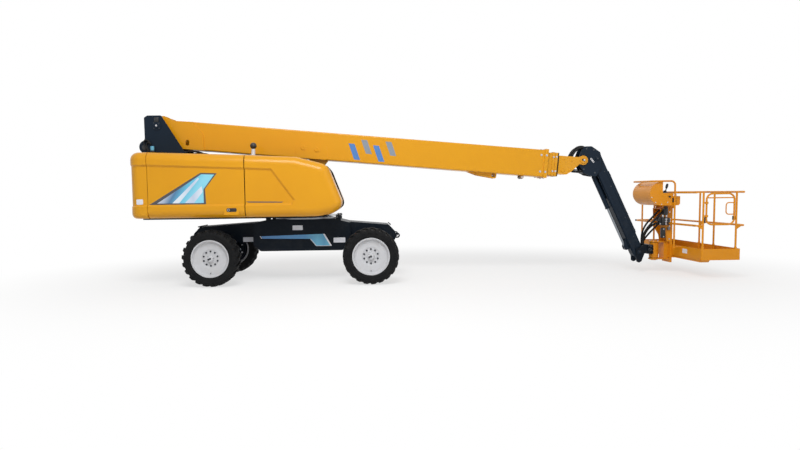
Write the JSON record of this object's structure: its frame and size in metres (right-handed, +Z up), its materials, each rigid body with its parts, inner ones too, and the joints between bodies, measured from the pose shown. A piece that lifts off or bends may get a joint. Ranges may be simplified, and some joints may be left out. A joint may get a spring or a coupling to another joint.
{
  "type": "telescopic boom lift",
  "caption": "Self-propelled telescopic boom lift with slewing turntable, telescoping boom, jib and railed work platform",
  "frame": {"origin": "on the ground under the middle of the bounding box", "axes": "+X from the counterweight towards the platform, +Y to the left, +Z up"},
  "size_m": [11.0543, 2.48, 3.1485],
  "materials": {
    "frame_paint": "semi-gloss",
    "body_paint": "gloss",
    "cage_paint": "gloss",
    "jib_paint": "semi-gloss",
    "rim_paint": "satin",
    "tyre_rubber": "matt",
    "bare_steel": "machined",
    "chrome_rod": "polished",
    "black_plastic": "matt"
  },
  "bodies": {
    "chassis": {"chassis_frame": "frame_paint", "slew_ring": "bare_steel", "steer_axle": "frame_paint", "steer_cylinder": "frame_paint", "drive_axle": "frame_paint"},
    "knuckle_left": {"knuckle_left": "frame_paint"},
    "knuckle_right": {"knuckle_right": "frame_paint"},
    "steer_rod": {"steer_rod": "chrome_rod"},
    "wheel_steer_left": {"tyre_steer_left": "tyre_rubber", "rim_steer_left": "rim_paint"},
    "wheel_steer_right": {"tyre_steer_right": "tyre_rubber", "rim_steer_right": "rim_paint"},
    "wheel_drive_left": {"tyre_drive_left": "tyre_rubber", "rim_drive_left": "rim_paint"},
    "wheel_drive_right": {"tyre_drive_right": "tyre_rubber", "rim_drive_right": "rim_paint"},
    "turntable": {"turntable_deck": "frame_paint", "turntable_frame": "jib_paint", "counterweight": "body_paint", "engine_block": "frame_paint", "service_tanks": "frame_paint", "beacon": "black_plastic", "hinge_bars": "body_paint", "nose_cowl_left": "body_paint", "nose_cowl_right": "body_paint"},
    "door_left": {"door_left": "body_paint"},
    "door_right": {"door_right": "body_paint"},
    "lift_barrel": {"lift_barrel": "frame_paint"},
    "lift_rod": {"lift_rod": "chrome_rod"},
    "base_boom": {"base_boom": "body_paint"},
    "mid_boom": {"mid_boom": "body_paint"},
    "fly_boom": {"fly_boom": "body_paint"},
    "level_barrel": {"level_barrel": "frame_paint"},
    "level_rod": {"level_rod": "chrome_rod"},
    "tip_bracket": {"tip_bracket": "jib_paint"},
    "jib_arm": {"jib_arm": "jib_paint"},
    "jib_link": {"jib_link": "jib_paint"},
    "jib_barrel": {"jib_barrel": "jib_paint"},
    "jib_rod": {"jib_rod": "chrome_rod"},
    "platform_bracket": {"platform_bracket": "frame_paint"},
    "platform": {"platform_floor": "cage_paint", "platform_rails": "cage_paint", "platform_mast": "cage_paint", "console": "cage_paint"},
    "gate": {"gate": "cage_paint"}
  },
  "joints": [
    {"name": "steer_left", "type": "hinge", "parent": "chassis", "child": "knuckle_left", "pos_m": [-4.082, 0.78, 0.51], "axis": [0, 0, 1], "range_deg": [-35, 35]},
    {"name": "steer_right", "type": "hinge", "parent": "chassis", "child": "knuckle_right", "pos_m": [-4.082, -0.78, 0.51], "axis": [0, 0, 1], "range_deg": [-35, 35]},
    {"name": "steer_rod_slide", "type": "slide", "parent": "chassis", "child": "steer_rod", "axis": [0, 1, 0], "range_m": [-0.1, 0.1]},
    {"name": "roll_steer_left", "type": "hinge", "parent": "knuckle_left", "child": "wheel_steer_left", "pos_m": [-4.082, 1.035, 0.51], "axis": [0, 1, 0], "continuous": true},
    {"name": "roll_steer_right", "type": "hinge", "parent": "knuckle_right", "child": "wheel_steer_right", "pos_m": [-4.082, -1.035, 0.51], "axis": [0, 1, 0], "continuous": true},
    {"name": "roll_drive_left", "type": "hinge", "parent": "chassis", "child": "wheel_drive_left", "pos_m": [-1.222, 1.035, 0.51], "axis": [0, 1, 0], "continuous": true},
    {"name": "roll_drive_right", "type": "hinge", "parent": "chassis", "child": "wheel_drive_right", "pos_m": [-1.222, -1.035, 0.51], "axis": [0, 1, 0], "continuous": true},
    {"name": "slew", "type": "hinge", "parent": "chassis", "child": "turntable", "pos_m": [-2.482, 0, 1.165], "axis": [0, 0, 1], "continuous": true},
    {"name": "door_left_hinge", "type": "hinge", "parent": "turntable", "child": "door_left", "pos_m": [-5.152, 0.3965, 2.422], "axis": [0.9993, 0, -0.0366], "range_deg": [0, 55]},
    {"name": "door_right_hinge", "type": "hinge", "parent": "turntable", "child": "door_right", "pos_m": [-5.152, -0.3965, 2.422], "axis": [-0.9993, 0, 0.0366], "range_deg": [0, 55]},
    {"name": "boom_lift", "type": "hinge", "parent": "turntable", "child": "base_boom", "pos_m": [-5.187, 0, 2.95], "axis": [0, -1, 0], "range_deg": [0, 78]},
    {"name": "lift_barrel_swing", "type": "hinge", "parent": "turntable", "child": "lift_barrel", "pos_m": [-4.552, 0, 1.45], "axis": [0, -1, 0], "range_deg": [0, 80]},
    {"name": "lift_rod_slide", "type": "slide", "parent": "lift_barrel", "child": "lift_rod", "axis": [0.9521, 0, 0.3059], "range_m": [0, 1.876]},
    {"name": "boom_extend", "type": "slide", "parent": "base_boom", "child": "mid_boom", "axis": [0.9961, 0, -0.0882], "range_m": [0, 5.8]},
    {"name": "fly_extend", "type": "slide", "parent": "mid_boom", "child": "fly_boom", "axis": [0.9961, 0, -0.0882], "range_m": [0, 5.8]},
    {"name": "bracket_level", "type": "hinge", "parent": "fly_boom", "child": "tip_bracket", "pos_m": [2.96809, 0, 2.22792], "axis": [0, -1, 0], "range_deg": [-78, 0]},
    {"name": "level_barrel_swing", "type": "hinge", "parent": "fly_boom", "child": "level_barrel", "pos_m": [1.77487, 0, 2.21009], "axis": [0, -1, 0], "range_deg": [-1, 10]},
    {"name": "level_rod_slide", "type": "slide", "parent": "level_barrel", "child": "level_rod", "axis": [0.9872, 0, -0.1595], "range_m": [-0.3, 0]},
    {"name": "jib_lift", "type": "hinge", "parent": "tip_bracket", "child": "jib_arm", "pos_m": [3.25309, 0, 2.25992], "axis": [0, -1, 0], "range_deg": [0, 125]},
    {"name": "jib_link_swing", "type": "hinge", "parent": "tip_bracket", "child": "jib_link", "pos_m": [3.25309, 0, 2.08992], "axis": [0, -1, 0], "range_deg": [0, 125]},
    {"name": "jib_barrel_swing", "type": "hinge", "parent": "tip_bracket", "child": "jib_barrel", "pos_m": [3.21309, 0, 1.95192], "axis": [0, -1, 0], "range_deg": [0, 130]},
    {"name": "jib_rod_slide", "type": "slide", "parent": "jib_barrel", "child": "jib_rod", "axis": [0.4229, 0, -0.9062], "range_m": [0, 0.569]},
    {"name": "platform_level", "type": "hinge", "parent": "jib_arm", "child": "platform_bracket", "pos_m": [4.11355, 0, 0.41467], "axis": [0, -1, 0], "range_deg": [-125, 0]},
    {"name": "platform_swing", "type": "hinge", "parent": "platform_bracket", "child": "platform", "pos_m": [4.46854, 0, 0.41467], "axis": [0, 0, 1], "range_deg": [-90, 90]},
    {"name": "gate_hinge", "type": "hinge", "parent": "platform", "child": "gate", "pos_m": [4.83854, -1.197, 0.97967], "axis": [0, 0, 1], "range_deg": [0, 90]}
  ],
  "couplings": [
    {"joint": "steer_right", "follows": "steer_left", "ratio": 1},
    {"joint": "steer_rod_slide", "follows": "steer_left", "m_per_rad": 0.16},
    {"joint": "lift_barrel_swing", "follows": "boom_lift", "ratio": 0.8036},
    {"joint": "lift_rod_slide", "follows": "boom_lift", "m_per_rad": 1.3633},
    {"joint": "bracket_level", "follows": "boom_lift", "ratio": -1},
    {"joint": "level_barrel_swing", "follows": "boom_lift", "ratio": 0.0699},
    {"joint": "level_rod_slide", "follows": "boom_lift", "m_per_rad": -0.18798},
    {"joint": "fly_extend", "follows": "boom_extend", "ratio": 1},
    {"joint": "jib_link_swing", "follows": "jib_lift", "ratio": 1},
    {"joint": "jib_barrel_swing", "follows": "jib_lift", "ratio": 0.99002},
    {"joint": "jib_rod_slide", "follows": "jib_lift", "m_per_rad": 0.25186},
    {"joint": "platform_level", "follows": "jib_lift", "ratio": -1}
  ]
}
